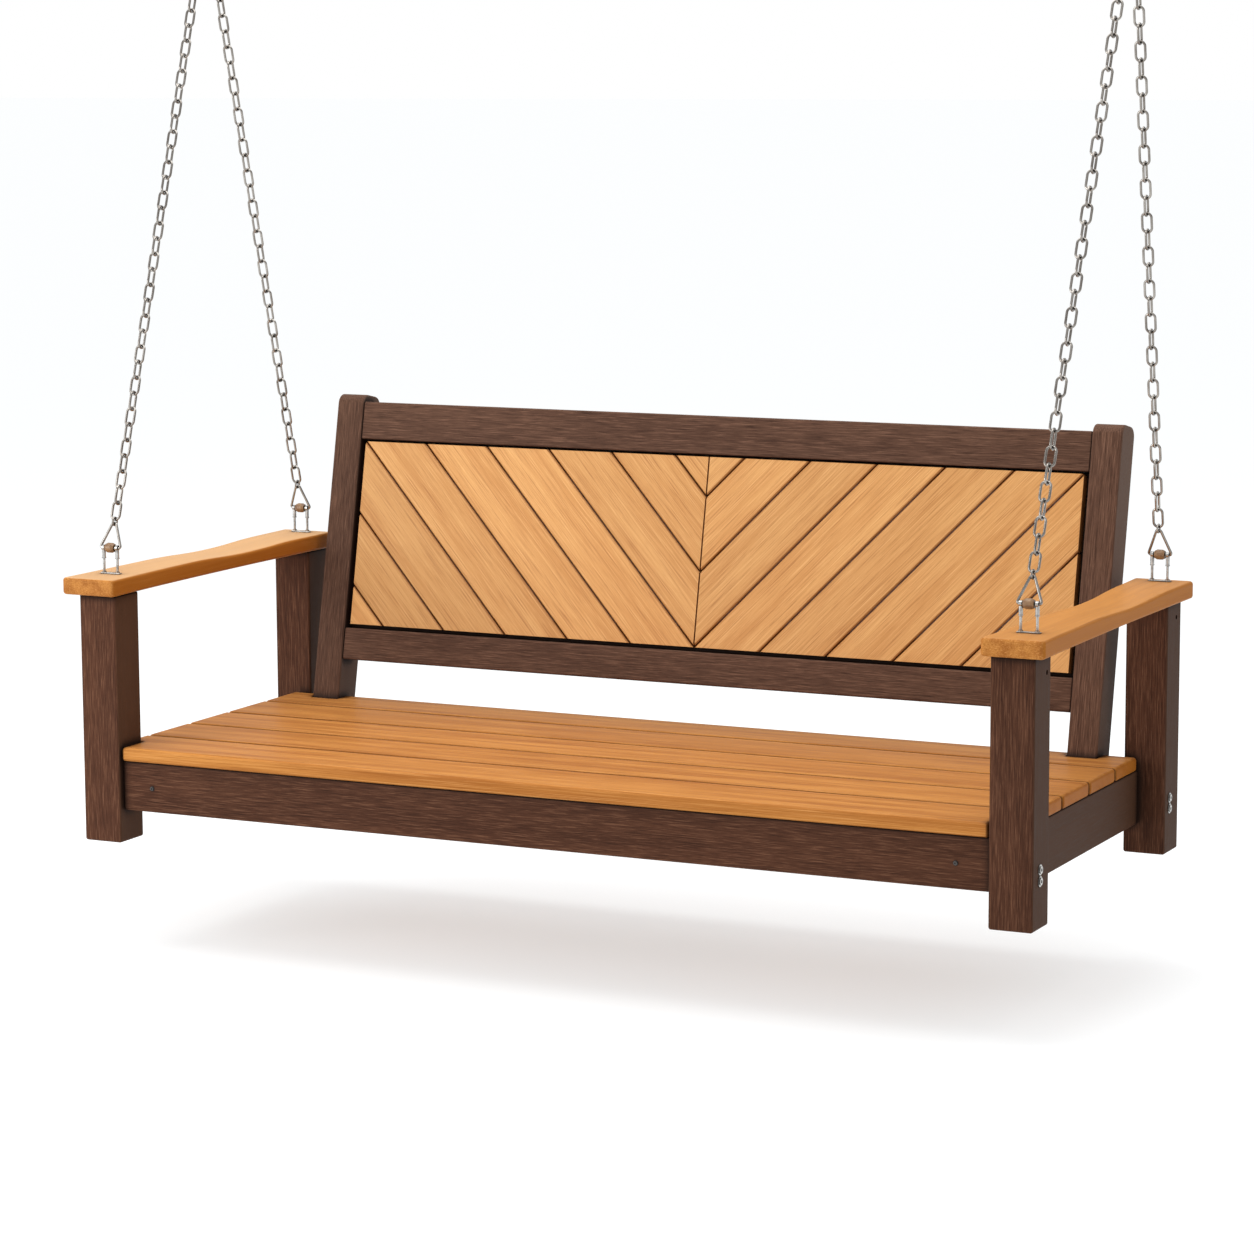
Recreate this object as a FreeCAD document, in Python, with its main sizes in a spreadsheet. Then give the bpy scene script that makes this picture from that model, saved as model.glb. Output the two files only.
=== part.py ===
"""Porch swing: a slatted bench with a chevron back, hung on four chains from two ceiling brackets.

Lengths are in millimetres. The model's frame has its origin on the ceiling, midway between the two
brackets and level with their pivots, with +X to the sitter's left, +Y to the back and +Z up.
The bench is laid out in bench coordinates, measured from the front posts' front faces (y), from the
feet of the posts (z) and from the middle of the bench (x); place() shifts them to the model's frame.
"""
import FreeCAD, Part
import math
import os

import Sketcher

Vector = FreeCAD.Vector

DIMENSIONS = {
    # where the bench hangs, from the model's origin
    "pivot_y": 423.2,            # pivots behind the front posts' front faces, over the centre of mass
    "drop": 1624.0,              # ceiling above the feet of the posts
    # posts
    "half_span": 762.0,          # half the clear width between left and right posts
    "post_side": 70.0,
    "post_height": 413.0,
    "rear_post_y": 623.0,
    "post_ease": 4.0,
    # seat
    "seat_top": 160.0,
    "slat_thickness": 23.0,
    "slat_pitch": 126.0,
    "slat_gap": 5.5,
    "front_slat_y": 5.0,
    "rear_slat_width": 103.0,
    "slat_reach": 788.0,         # half length of the slats, except between the front posts
    "slat_end_gap": 2.0,
    "slat_ease": 5.5,
    "notch_gap": 1.5,
    # aprons, joist and corner blocks
    "board_thickness": 38.0,
    "board_ease": 3.0,
    "apron_bottom": 54.0,
    "front_apron_y": 12.0,
    "rear_apron_y": 628.0,
    "side_apron_bottom": 48.0,
    "side_apron_outer": 786.0,
    "block_side": 62.0,
    # back: its own frame starts on the stiles' front faces at seat level and leans back
    "back_y": 578.0,
    "back_lean": 11.6,
    "stile_inner": 679.5,
    "stile_width": 52.0,
    "stile_depth": 62.0,
    "stile_length": 543.0,
    "stile_round": 18.0,
    "rail_recess": 2.0,
    "top_rail_low": 463.0,
    "top_rail_high": 529.5,
    "bottom_rail_low": 71.0,
    "bottom_rail_high": 127.0,
    "panel_recess": 4.0,
    "panel_thickness": 19.0,
    "panel_low": 134.0,
    "panel_high": 459.0,
    "panel_half": 670.0,
    "chevron_spacing": 121.16,   # between grooves, along the panel's top edge
    "chevron_start": 64.2,       # from the centre seam to the first groove, along the top edge
    "chevron_angle": 46.67,
    "chevron_gap": 2.6,
    "chevron_chamfer": 2.2,
    "cleat_thickness": 20.0,
    "cleat_width": 40.0,
    "cleat_gap": 0.5,            # between the cleats and the rails above and below them
    "batten_half": 35.0,
    # arms
    "arm_front": -20.0,
    "arm_rear": 694.0,
    "arm_inner": 752.0,
    "arm_outer": 853.0,
    "arm_thickness": 28.0,
    "arm_waist": 8.0,            # how far the inner edge bows outward
    "arm_bow": 4.0,              # how far the outer edge bows inward
    "arm_corner": 8.0,
    "arm_ease": 5.0,
    "scoop_start": 230.0,
    "scoop_end": 590.0,
    "scoop_depth": 4.0,
    # chain hangers on the arms
    "hanger_x": 803.0,
    "front_hanger_y": 52.0,
    "rear_hanger_y": 668.0,
    "leg_spread": 26.0,
    "leg_radius": 2.2,
    "leg_reach": 66.0,           # how far each leg reaches down through the arm into the post
    "collar_radius": 3.7,
    "sleeve_radius": 3.2,
    "sleeve_length": 16.0,
    "sleeve_drop": 2.0,          # top of the sleeve below the bar's axis
    "lip_height": 1.6,
    "eye_radius": 4.6,
    "eye_width": 4.6,
    "bar_height": 43.4,          # delta link's base bar above the arm
    "bar_radius": 2.2,
    "delta_half": 20.0,          # half the triangle's base and its height, before rounding
    "delta_vertex": 49.8,
    "delta_corner": 2.9,
    "delta_tip": 4.6,
    "roller_radius": 8.2,
    "roller_length": 17.0,
    "roller_chamfer": 2.0,
    "fit_gap": 0.1,
    "plate_length": 37.0,
    "plate_width": 8.0,
    "plate_height": 2.0,
    "plate_ease": 0.6,
    "dowel_radius": 4.0,
    "dowel_hole": 56.0,          # depth of its hole, from the post's outer face
    "dowel_inset": 2.5,
    "dowel_depth": 29.0,         # dowel axis below the top of the post
    # bolts through the posts into the aprons
    "bolt_low": 73.6,
    "bolt_high": 91.0,
    "bolt_radius": 4.0,
    "bolt_length": 118.0,
    "washer_radius": 8.2,
    "washer_height": 1.0,
    "bolt_head_radius": 5.6,
    "bolt_head_height": 1.8,
    "socket_depth": 1.2,
    "nut_radius": 5.5,
    "nut_length": 26.0,
    "nut_inset": 42.0,
    "screw_radius": 2.4,
    "screw_rim_radius": 3.8,
    "screw_rim_height": 0.6,
    "screw_head_radius": 3.0,
    "screw_length": 70.0,
    "screw_x": 706.0,
    "screw_z": 94.0,
    "lag_x": 777.0,
    "lag_z": 110.0,
    # chains
    "link_wire": 2.0,
    "link_inner": 27.3,
    "link_width": 19.4,
    "front_links": 39,
    "rear_links": 37,
    "shackle_wire": 1.6,
    "shackle_radius": 6.5,
    # ring, eye, pin and bracket over each arm
    "bracket_x": 825.0,
    "ring_radius": 19.0,
    "ring_wire": 3.5,
    "eye_rise": 23.8,            # centre of the eye above the centre of the ring
    "eye_loop": 12.0,
    "pivot_rise": 55.0,          # pivot above the centre of the ring
    "barrel_radius": 12.0,
    "barrel_half": 13.0,
    "pin_radius": 6.0,
    "pin_fit": 0.05,
    "pin_head": 10.0,
    "pin_head_height": 4.0,
    "ear_gap": 0.5,
    "ear_thickness": 6.0,
    "ear_radius": 18.0,
    "ear_round": 18.002,         # of the ears' lower ends, a hair over half their width
    "ear_flare": 8.0,
    "plate_clearance": 4.0,      # between the barrel's and the ears' roundings and the plate
    "bracket_plate": 6.0,
    "bracket_ease": 1.5,
    "bracket_length": 130.0,
    "bracket_width": 62.0,
    "bracket_holes": 95.0,
    "bracket_hole": 4.5,
    "overcut": 1.0,              # how far a cutter stands out of what it cuts
}

DOC = FreeCAD.newDocument("porch_swing")
SHEET = DOC.addObject("Spreadsheet::Sheet", "Dims")
NODES = []
SIDES = {"left": -1, "right": 1}
SLATS = 5
CHEVRON_BOARDS = 9               # in each half of the panel


def fill_sheet():
    for row, (alias, number) in enumerate(DIMENSIONS.items(), start=1):
        SHEET.set(f"A{row}", alias)
        SHEET.set(f"B{row}", str(number))
        SHEET.setAlias(f"B{row}", alias)
    DOC.recompute()


def dim(alias):
    """The value of one cell."""
    return float(SHEET.get(alias))


def value(expression):
    """The value of an expression over the sheet's cells."""
    return float(SHEET.evalExpression(str(expression)))


def node(obj, label):
    """Name a finished sub-part, so that it is written to its own file."""
    obj.Label = label
    NODES.append(obj)
    return obj


def place(obj, x, y, z):
    """Put an object at a point given in bench coordinates."""
    obj.setExpression("Placement.Base.x", f"{x}")
    obj.setExpression("Placement.Base.y", f"{y} - Dims.pivot_y")
    obj.setExpression("Placement.Base.z", f"{z} - Dims.drop")


def place_on_back(obj, across="0", depth="0", rise="0"):
    """Lean an object with the back and put it at a point of the back's own frame."""
    obj.Placement = FreeCAD.Placement(Vector(), FreeCAD.Rotation(Vector(1, 0, 0), -dim("back_lean")))
    obj.setExpression("Placement.Rotation.Angle", "-Dims.back_lean")
    lean = "Dims.back_lean"
    y = f"Dims.back_y + ({depth}) * cos({lean}) + ({rise}) * sin({lean})"
    z = f"Dims.seat_top - ({depth}) * sin({lean}) + ({rise}) * cos({lean})"
    place(obj, across, y, z)


def outer_x(side, inner, width):
    """The lower x of a piece whose face nearest the middle is at inner."""
    return f"{inner}" if side > 0 else f"-({inner}) - ({width})"


def set_sizes(obj, **sizes):
    for name, expression in sizes.items():
        obj.setExpression(name, str(expression))
    return obj


def cylinder(name, radius, height, axis=(0, 0, 1)):
    """A cylinder with its first end at the origin, along an axis."""
    rod = set_sizes(DOC.addObject("Part::Cylinder", name), Radius=radius, Height=height)
    rod.Placement = FreeCAD.Placement(Vector(), FreeCAD.Rotation(Vector(0, 0, 1), Vector(*axis)))
    return rod


def box(name, length, width, height):
    return set_sizes(DOC.addObject("Part::Box", name), Length=length, Width=width, Height=height)


def local(obj, x="0", y="0", z="0"):
    """Put an object at a point of its prototype's own frame."""
    for axis, expression in zip("xyz", (x, y, z)):
        obj.setExpression(f"Placement.Base.{axis}", str(expression))
    return obj


def fuse(name, parts):
    joined = DOC.addObject("Part::MultiFuse", name)
    joined.Shapes = parts
    joined.Refine = True
    return joined


def cut(name, base, tools):
    """Take the tools away from the base, and make sure that each of them cuts."""
    result = DOC.addObject("Part::Cut", name)
    result.Base = base
    result.Tool = tools[0] if len(tools) == 1 else fuse(f"{name}_tools", tools)
    DOC.recompute()
    for tool in tools:
        if base.Shape.common(tool.Shape).Volume < 1.0:
            raise RuntimeError(f"{tool.Name} cuts nothing from {base.Label}")
    return result


def origin_plane(body, role):
    return next(f for f in body.Origin.OriginFeatures if f.Role == role)


def outline(body, plane, points, arcs=None):
    """A closed sketch through points given as pairs of expressions, anticlockwise.

    arcs maps an edge's number to its radius and to +1 where it bulges outward or -1 inward.
    """
    sketch = body.newObject("Sketcher::SketchObject", "Outline")
    sketch.AttachmentSupport = [(origin_plane(body, plane), "")]
    sketch.MapMode = "FlatFace"
    corners = [Vector(value(x), value(y), 0) for x, y in points]
    ends = []
    for index, start in enumerate(corners):
        stop = corners[(index + 1) % len(corners)]
        if arcs and index in arcs:
            radius, bulge = arcs[index]
            size = value(radius)
            chord = stop - start
            outward = Vector(chord.y, -chord.x, 0).normalize()
            rise = size - math.sqrt(max(0.0, size ** 2 - chord.Length ** 2 / 4))
            middle = (start + stop) / 2 + outward * rise * bulge
            first, last = (start, stop) if bulge > 0 else (stop, start)
            edge = sketch.addGeometry(Part.Arc(first, middle, last))
            ends.append((1, 2) if bulge > 0 else (2, 1))
            constraint = sketch.addConstraint(Sketcher.Constraint("Radius", edge, size))
            sketch.setExpression(f"Constraints[{constraint}]", radius)
        else:
            sketch.addGeometry(Part.LineSegment(start, stop))
            ends.append((1, 2))
    for index in range(len(corners)):
        following = (index + 1) % len(corners)
        sketch.addConstraint(
            Sketcher.Constraint("Coincident", index, ends[index][1], following, ends[following][0]))
    for index, (point, corner) in enumerate(zip(points, corners)):
        for kind, expression, length in zip(("DistanceX", "DistanceY"), point, corner):
            constraint = sketch.addConstraint(
                Sketcher.Constraint(kind, -1, 1, index, ends[index][0], length))
            sketch.setExpression(f"Constraints[{constraint}]", str(expression))
    return sketch


def pad(body, sketch, length, reverse=False):
    feature = body.newObject("PartDesign::Pad", "Pad")
    feature.Profile = sketch
    feature.Reversed = reverse
    feature.setExpression("Length", str(length))
    DOC.recompute()
    return feature


def sharp_edges(shape, chosen=None):
    """Names of the edges where two faces meet at an angle, less those that chosen() leaves out."""
    names = []
    for number, edge in enumerate(shape.Edges, start=1):
        middle = edge.valueAt((edge.FirstParameter + edge.LastParameter) / 2)
        faces = shape.ancestorsOfType(edge, Part.Face)
        normals = [face.normalAt(*face.Surface.parameter(middle)) for face in faces]
        if len(normals) == 2 and normals[0].getAngle(normals[1]) > math.radians(30):
            if chosen is None or chosen(edge):
                names.append(f"Edge{number}")
    return names


def ease(body, feature, radius, chosen=None):
    """Round the chosen sharp edges of a body's last feature."""
    fillet = body.newObject("PartDesign::Fillet", "Ease")
    fillet.Base = (feature, sharp_edges(feature.Shape, chosen))
    fillet.setExpression("Radius", str(radius))
    DOC.recompute()
    return fillet


def board(name, size, radius):
    """A plain board with eased edges, its lowest corner at the origin."""
    length, width, height = size
    body = DOC.addObject("PartDesign::Body", name)
    sketch = outline(body, "XY_Plane", [("0", "0"), (length, "0"), (length, width), ("0", width)])
    ease(body, pad(body, sketch, height), radius)
    return body


def placed(prototype, placements):
    """Copies of a prototype's shape, one at each placement."""
    shapes = []
    for placement in placements:
        shape = prototype.Shape.copy()
        shape.Placement = placement.multiply(shape.Placement)
        shapes.append(shape)
    return shapes


def group(label, shapes):
    """One sub-part of several separate solids."""
    gathered = DOC.addObject("Part::Feature", label)
    gathered.Shape = Part.makeCompound(shapes)
    return node(gathered, label)


def copies(label, prototype, placements):
    """One sub-part of several equal solids."""
    return group(label, placed(prototype, placements))


def to_model(x, y, z, rotation=None):
    """A placement at a point given in bench coordinates."""
    point = Vector(x, y - dim("pivot_y"), z - dim("drop"))
    return FreeCAD.Placement(point, rotation or FreeCAD.Rotation())


def closed_wire(edges, radius):
    """A solid round wire along closed edges; its length tells whether it came out whole."""
    path = Part.Wire(edges)
    start = edges[0].valueAt(edges[0].FirstParameter)
    heading = edges[0].tangentAt(edges[0].FirstParameter)
    solid = path.makePipeShell([Part.Wire([Part.makeCircle(radius, start, heading)])], True, True)
    expected = math.pi * radius ** 2 * path.Length
    if abs(solid.Volume / expected - 1) > 0.01:
        raise RuntimeError("a wire has the wrong volume")
    return solid


HANGER_ROWS = ("Dims.front_hanger_y", "Dims.rear_hanger_y")
PLATE_LOW = "(Dims.ear_radius + Dims.barrel_radius + Dims.plate_clearance)"


# ---------------------------------------------------------------- posts, aprons, joist, blocks

def post(name, side, y, hanger_y, bolt_y, lag):
    """A square post, drilled for its hanger's legs and dowel and for the bolts into an apron."""
    x = outer_x(side, "Dims.half_span", "Dims.post_side")
    wood = board(f"{name}_wood", ("Dims.post_side", "Dims.post_side", "Dims.post_height"),
                 "Dims.post_ease")
    place(wood, x, y, "0")
    hanger = f"{side} * Dims.hanger_x"
    tools = []
    for leg in (-1, 1):
        hole = cylinder(f"{name}_leg_hole", "Dims.leg_radius", "Dims.leg_reach")
        place(hole, f"{hanger} + {leg} * Dims.leg_spread / 2", hanger_y,
              "Dims.post_height + Dims.arm_thickness - Dims.leg_reach")
        tools.append(hole)
    across = cylinder(f"{name}_dowel_hole", "Dims.dowel_radius", "Dims.dowel_hole", (-side, 0, 0))
    outer = f"{side} * (Dims.half_span + Dims.post_side)"
    place(across, outer, hanger_y, "Dims.post_height - Dims.dowel_depth")
    tools.append(across)
    for height in ("Dims.bolt_low", "Dims.bolt_high"):
        hole = cylinder(f"{name}_bolt_hole", "Dims.bolt_radius", "Dims.bolt_length", (-side, 0, 0))
        place(hole, outer, bolt_y, height)
        tools.append(hole)
    if lag:
        hole = cylinder(f"{name}_lag_hole", "Dims.screw_radius", "Dims.post_side", (0, 1, 0))
        place(hole, f"{side} * Dims.lag_x", y, "Dims.lag_z")
        tools.append(hole)
    node(cut(name, wood, tools), name)


FRONT_BOLT_Y = "Dims.front_apron_y + Dims.board_thickness / 2"
REAR_BOLT_Y = "Dims.rear_apron_y + Dims.board_thickness / 2"


def posts():
    for word, side in SIDES.items():
        post(f"front_post_{word}", side, "0", "Dims.front_hanger_y", FRONT_BOLT_Y, False)
        post(f"rear_post_{word}", side, "Dims.rear_post_y", "Dims.rear_hanger_y", REAR_BOLT_Y, True)


def cross_apron(name, y, inward):
    """A long apron between two posts, with its bolt and nut holes; inward faces the seat's middle."""
    height = "Dims.seat_top - Dims.slat_thickness - Dims.apron_bottom"
    wood = board(f"{name}_wood", ("2 * Dims.half_span", "Dims.board_thickness", height),
                 "Dims.board_ease")
    place(wood, "-Dims.half_span", y, "Dims.apron_bottom")
    tools = []
    for side in SIDES.values():
        for bolt in ("Dims.bolt_low", "Dims.bolt_high"):
            hole = cylinder(f"{name}_bolt_hole", "Dims.bolt_radius", "Dims.bolt_length",
                            (-side, 0, 0))
            place(hole, f"{side} * (Dims.half_span + Dims.post_side)",
                  f"{y} + Dims.board_thickness / 2", bolt)
            nut = cylinder(f"{name}_nut_hole", "Dims.nut_radius", "Dims.nut_length",
                           (0, -inward, 0))
            face = f"{y} + Dims.board_thickness" if inward > 0 else y
            place(nut, f"{side} * (Dims.half_span - Dims.nut_inset)", face, bolt)
            tools += [hole, nut]
        if inward > 0:
            screw = cylinder(f"{name}_screw_hole", "Dims.screw_radius", "Dims.board_thickness",
                             (0, 1, 0))
            place(screw, f"{side} * Dims.screw_x", y, "Dims.screw_z")
            tools.append(screw)
    node(cut(name, wood, tools), name)


def side_apron(word, side):
    """A short apron between a front and a rear post, under the slats' ends."""
    name = f"side_apron_{word}"
    inner = "(Dims.side_apron_outer - Dims.board_thickness)"
    length = "Dims.rear_post_y - Dims.post_side"
    height = "Dims.seat_top - Dims.slat_thickness - Dims.side_apron_bottom"
    wood = board(f"{name}_wood", ("Dims.board_thickness", length, height), "Dims.board_ease")
    place(wood, outer_x(side, inner, "Dims.board_thickness"), "Dims.post_side",
          "Dims.side_apron_bottom")
    lag = cylinder(f"{name}_lag_hole", "Dims.screw_radius", "Dims.screw_length", (0, -1, 0))
    place(lag, f"{side} * Dims.lag_x", "Dims.rear_post_y", "Dims.lag_z")
    node(cut(name, wood, [lag]), name)


def joist():
    length = "Dims.rear_apron_y - Dims.front_apron_y - Dims.board_thickness"
    height = "Dims.seat_top - Dims.slat_thickness - Dims.apron_bottom"
    wood = board("centre_joist", ("Dims.board_thickness", length, height), "Dims.board_ease")
    place(wood, "-Dims.board_thickness / 2", "Dims.front_apron_y + Dims.board_thickness",
          "Dims.apron_bottom")
    node(wood, "centre_joist")


def corner_blocks():
    """Blocks in the front corners, screwed to the front apron, that carry the side aprons."""
    height = "Dims.seat_top - Dims.slat_thickness - Dims.apron_bottom"
    wood = board("corner_block", ("Dims.block_side", "Dims.block_side", height), "Dims.board_ease")
    place(wood, "0", "Dims.front_apron_y + Dims.board_thickness", "Dims.apron_bottom")
    inner = "Dims.side_apron_outer - Dims.board_thickness - Dims.block_side"
    screw = cylinder("corner_block_hole", "Dims.screw_radius", "Dims.screw_length", (0, 1, 0))
    place(screw, f"Dims.screw_x - ({inner})", "Dims.front_apron_y", "Dims.screw_z")
    drilled = cut("corner_block_drilled", wood, [screw])
    right = placed(drilled, [FreeCAD.Placement(Vector(value(inner), 0, 0), FreeCAD.Rotation())])
    group("corner_blocks", right + [block.mirror(Vector(), Vector(1, 0, 0)) for block in right])


# ---------------------------------------------------------------- seat

def front_slat():
    """The front slat: it fits between the front posts and widens behind them."""
    body = DOC.addObject("PartDesign::Body", "seat_slat_1")
    near, far = "(Dims.half_span - Dims.slat_end_gap)", "Dims.slat_reach"
    front, back = "Dims.front_slat_y", "(Dims.front_slat_y + Dims.slat_pitch - Dims.slat_gap)"
    behind = "(Dims.post_side + Dims.notch_gap)"
    right = [(near, front), (near, behind), (far, behind), (far, back)]
    left = [(f"-{x}", y) for x, y in reversed(right)]
    blank = pad(body, outline(body, "XY_Plane", right + left), "Dims.slat_thickness")
    ease(body, blank, "Dims.slat_ease")
    place(body, "0", "0", "Dims.seat_top - Dims.slat_thickness")
    node(body, "seat_slat_1")


def seat():
    """The front slat, three plain ones and a narrower rear one, notched around the stiles."""
    front_slat()
    for number in range(2, SLATS + 1):
        name = f"seat_slat_{number}"
        last = number == SLATS
        width = "Dims.rear_slat_width" if last else "Dims.slat_pitch - Dims.slat_gap"
        wood = board(f"{name}_wood", ("2 * Dims.slat_reach", width, "Dims.slat_thickness"),
                     "Dims.slat_ease")
        y = f"Dims.front_slat_y + {number - 1} * Dims.slat_pitch"
        place(wood, "-Dims.slat_reach", y, "Dims.seat_top - Dims.slat_thickness")
        node(cut(name, wood, stile_notches(y)) if last else wood, name)


def stile_notches(slat_y):
    notches = []
    front = "Dims.back_y - Dims.slat_thickness * tan(Dims.back_lean) - Dims.notch_gap"
    for side in SIDES.values():
        notch = box("stile_notch", "Dims.stile_width + 2 * Dims.notch_gap",
                    f"{slat_y} + Dims.rear_slat_width + Dims.overcut - ({front})",
                    "Dims.slat_thickness + 2 * Dims.overcut")
        x = outer_x(side, "(Dims.stile_inner - Dims.notch_gap)",
                    "Dims.stile_width + 2 * Dims.notch_gap")
        place(notch, x, front, "Dims.seat_top - Dims.slat_thickness - Dims.overcut")
        notches.append(notch)
    return notches


# ---------------------------------------------------------------- back

def stile(word, side):
    """A leaning stile, halved over the rear apron at its foot and rounded at its head."""
    body = DOC.addObject("PartDesign::Body", f"back_stile_{word}")
    lean = "Dims.back_lean"
    apron_top = "(Dims.seat_top - Dims.slat_thickness)"
    rear = f"Dims.back_y + Dims.stile_depth / cos({lean}) - Dims.slat_thickness * tan({lean})"
    head_y = f"Dims.back_y + Dims.stile_length * sin({lean})"
    head_z = f"Dims.seat_top + Dims.stile_length * cos({lean})"
    points = [
        (f"Dims.back_y - (Dims.seat_top - Dims.apron_bottom) * tan({lean})", "Dims.apron_bottom"),
        ("Dims.rear_apron_y", "Dims.apron_bottom"),
        ("Dims.rear_apron_y", apron_top),
        (rear, apron_top),
        (f"{head_y} + Dims.stile_depth * cos({lean})", f"{head_z} - Dims.stile_depth * sin({lean})"),
        (head_y, head_z),
    ]
    blank = pad(body, outline(body, "YZ_Plane", points), "Dims.stile_width")
    top = value(head_z) - dim("stile_depth") * math.sin(math.radians(dim("back_lean"))) - 1
    head = ease(body, blank, "Dims.stile_round",
                lambda edge: edge.Length > 1 and edge.BoundBox.ZMin > top
                and edge.BoundBox.ZLength < 1)
    ease(body, head, "Dims.board_ease")
    place(body, outer_x(side, "Dims.stile_inner", "Dims.stile_width"), "0", "0")
    node(body, f"back_stile_{word}")


def back_board(name, left, right, depth, thickness, low, high):
    """A straight board of the back, given by its two ends and its two edges."""
    body = board(name, (f"{right} - {left}", thickness, f"{high} - {low}"), "Dims.board_ease")
    place_on_back(body, left, depth, low)
    return body


def back_frame():
    for word, side in SIDES.items():
        stile(word, side)
    for word in ("top", "bottom"):
        name = f"back_{word}_rail"
        rail = back_board(name, "(-Dims.stile_inner)", "Dims.stile_inner", "Dims.rail_recess",
                          "Dims.board_thickness", f"Dims.{word}_rail_low", f"Dims.{word}_rail_high")
        node(rail, name)


def back_cleats():
    """A frame of cleats between the stiles and the rails, with a batten, all behind the panel."""
    behind = "Dims.panel_recess + Dims.panel_thickness"
    low = "(Dims.bottom_rail_high + Dims.cleat_gap)"
    high = "(Dims.top_rail_low - Dims.cleat_gap)"
    inner_low, inner_high = f"({low} + Dims.cleat_width)", f"({high} - Dims.cleat_width)"
    inner = "(Dims.stile_inner - Dims.cleat_width)"
    boards = {
        "upper_cleat": ("(-Dims.stile_inner)", "Dims.stile_inner", inner_high, high),
        "lower_cleat": ("(-Dims.stile_inner)", "Dims.stile_inner", low, inner_low),
        "left_cleat": ("(-Dims.stile_inner)", f"(-{inner})", inner_low, inner_high),
        "right_cleat": (inner, "Dims.stile_inner", inner_low, inner_high),
        "centre_batten": ("(-Dims.batten_half)", "Dims.batten_half", inner_low, inner_high),
    }
    cleats = [back_board(name, left, right, behind, "Dims.cleat_thickness", bottom, top)
              for name, (left, right, bottom, top) in boards.items()]
    DOC.recompute()
    gathered = DOC.addObject("Part::Compound", "back_cleats")
    gathered.Links = cleats
    node(gathered, "back_cleats")


def chevron_board(name, side, number, panel):
    """One slanting board, chamfered along its long edges and clipped to its half of the panel."""
    angle = "Dims.chevron_angle"
    run = f"((Dims.panel_high - Dims.panel_low) / sin({angle}) + 2 * Dims.chevron_spacing)"
    blank = box(f"{name}_blank", f"{run} + Dims.chevron_spacing", "Dims.panel_thickness",
                f"Dims.chevron_spacing * sin({angle}) - Dims.chevron_gap")
    turn = f"-{angle}" if side > 0 else f"-(180 - {angle})"
    blank.Placement = FreeCAD.Placement(Vector(), FreeCAD.Rotation(Vector(0, 1, 0), value(turn)))
    blank.setExpression("Placement.Rotation.Angle", turn)
    lower = number if side > 0 else number - 1
    groove = f"(Dims.chevron_start + {lower} * Dims.chevron_spacing)"
    x = f"{side} * ({groove} - {run} * cos({angle})) - Dims.chevron_gap / 2 * sin({angle})"
    z = f"Dims.panel_high - {run} * sin({angle}) + {side} * Dims.chevron_gap / 2 * cos({angle})"
    local(blank, x, "Dims.panel_recess", z)
    DOC.recompute()
    eased = DOC.addObject("Part::Chamfer", f"{name}_eased")
    eased.Base = blank
    size = dim("chevron_chamfer")
    eased.Edges = [(index, size, size) for index, edge in enumerate(blank.Shape.Edges, start=1)
                   if edge.Length > value(run)]
    clipped = DOC.addObject("Part::Common", name)
    clipped.Base = eased
    clipped.Tool = panel
    place_on_back(clipped)
    node(clipped, name)


def chevron_panel():
    for word, side in SIDES.items():
        panel = box(f"panel_{word}", "Dims.panel_half - Dims.chevron_gap / 2",
                    "Dims.panel_thickness", "Dims.panel_high - Dims.panel_low")
        local(panel, outer_x(side, "Dims.chevron_gap / 2", "Dims.panel_half - Dims.chevron_gap / 2"),
              "Dims.panel_recess", "Dims.panel_low")
        for number in range(CHEVRON_BOARDS):
            chevron_board(f"chevron_{word}_{number + 1}", side, number, panel)


# ---------------------------------------------------------------- arms

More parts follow.
